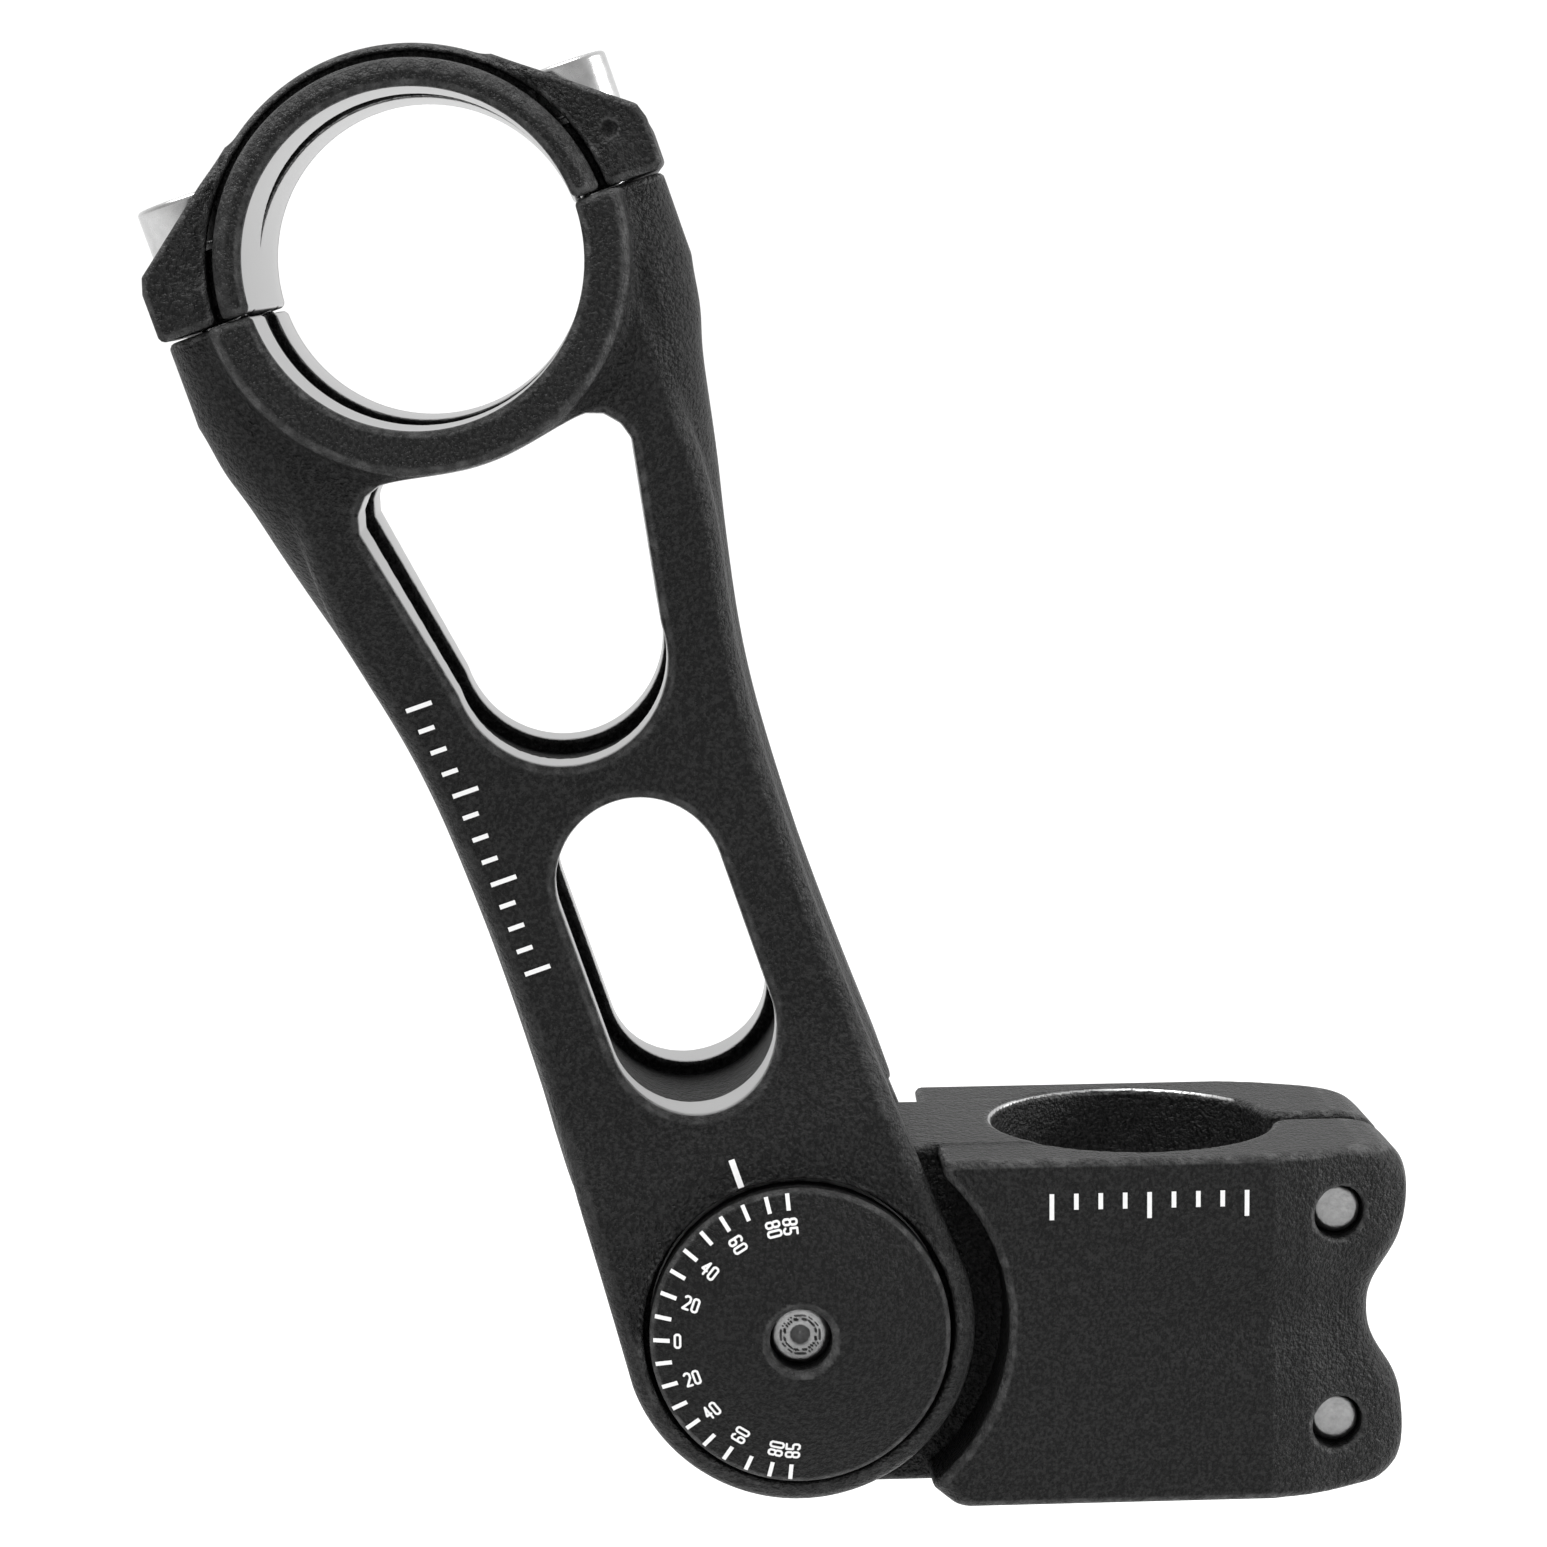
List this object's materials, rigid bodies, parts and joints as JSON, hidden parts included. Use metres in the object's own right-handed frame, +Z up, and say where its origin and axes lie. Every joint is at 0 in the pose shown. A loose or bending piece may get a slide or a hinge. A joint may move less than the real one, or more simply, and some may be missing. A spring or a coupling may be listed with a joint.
{
  "type": "adjustable handlebar stem",
  "caption": "Adjustable-angle bicycle handlebar stem: forged arm with two windows and removable bar cap, pivoting between toothed dial discs on a short steerer clamp.",
  "frame": {"origin": "centre of the steerer bore on the clamp's bottom face", "axes": "+Z up along the steerer, -X forward to the handlebar, the dial on the -Y side"},
  "size_m": [0.1227, 0.043, 0.1429],
  "materials": {
    "black_coat": "satin, fine grain",
    "dial_black": "satin, fine grain",
    "bolt_steel": "zinc plated",
    "tooth_steel": "hardened, oiled",
    "spring_steel": "plain",
    "white_print": "printed paint"
  },
  "bodies": {
    "clamp_body": {"steerer_clamp": "black_coat", "spring_left": "spring_steel", "spring_right": "spring_steel", "clamp_scale": "white_print"},
    "arm_body": {"arm": "black_coat", "tooth_ring_left": "tooth_steel", "tooth_ring_right": "tooth_steel", "index_mark": "white_print", "arm_scale": "white_print"},
    "cap_body": {"bar_cap": "black_coat", "cap_washers": "bolt_steel", "cap_bolts": "bolt_steel"},
    "dial_body": {"dial_disc": "dial_black", "dial_ticks": "white_print", "dial_numbers": "white_print"},
    "lock_body": {"lock_disc": "dial_black", "pivot_washer": "bolt_steel"},
    "bolt_body": {"pivot_bolt": "bolt_steel"},
    "pinch_upper_body": {"pinch_bolt_upper": "bolt_steel"},
    "pinch_lower_body": {"pinch_bolt_lower": "bolt_steel"}
  },
  "joints": [
    {"name": "arm_pivot", "type": "hinge", "parent": "clamp_body", "child": "arm_body", "pos_m": [-0.035, 0, 0.0185], "axis": [0, 1, 0], "range_deg": [-136, 8.5]},
    {"name": "cap_lift", "type": "slide", "parent": "arm_body", "child": "cap_body", "axis": [-0.319, 0, 0.9478], "range_m": [0, 0.03]},
    {"name": "dial_slide", "type": "slide", "parent": "clamp_body", "child": "dial_body", "axis": [0, -1, 0], "range_m": [0, 0.0015]},
    {"name": "lock_slide", "type": "slide", "parent": "clamp_body", "child": "lock_body", "axis": [0, 1, 0], "range_m": [0, 0.0015]},
    {"name": "pivot_bolt_turn", "type": "hinge", "parent": "lock_body", "child": "bolt_body", "pos_m": [-0.035, 0, 0.0185], "axis": [0, 1, 0], "range_deg": [0, 1080]},
    {"name": "pinch_upper_turn", "type": "hinge", "parent": "clamp_body", "child": "pinch_upper_body", "pos_m": [0.0186, 0, 0.0285], "axis": [0, 1, 0], "range_deg": [0, 720]},
    {"name": "pinch_lower_turn", "type": "hinge", "parent": "clamp_body", "child": "pinch_lower_body", "pos_m": [0.0186, 0, 0.0071], "axis": [0, 1, 0], "range_deg": [0, 720]}
  ],
  "couplings": [
    {"joint": "dial_slide", "follows": "lock_slide", "ratio": 1},
    {"joint": "pivot_bolt_turn", "follows": "lock_slide", "rad_per_m": 12566}
  ]
}
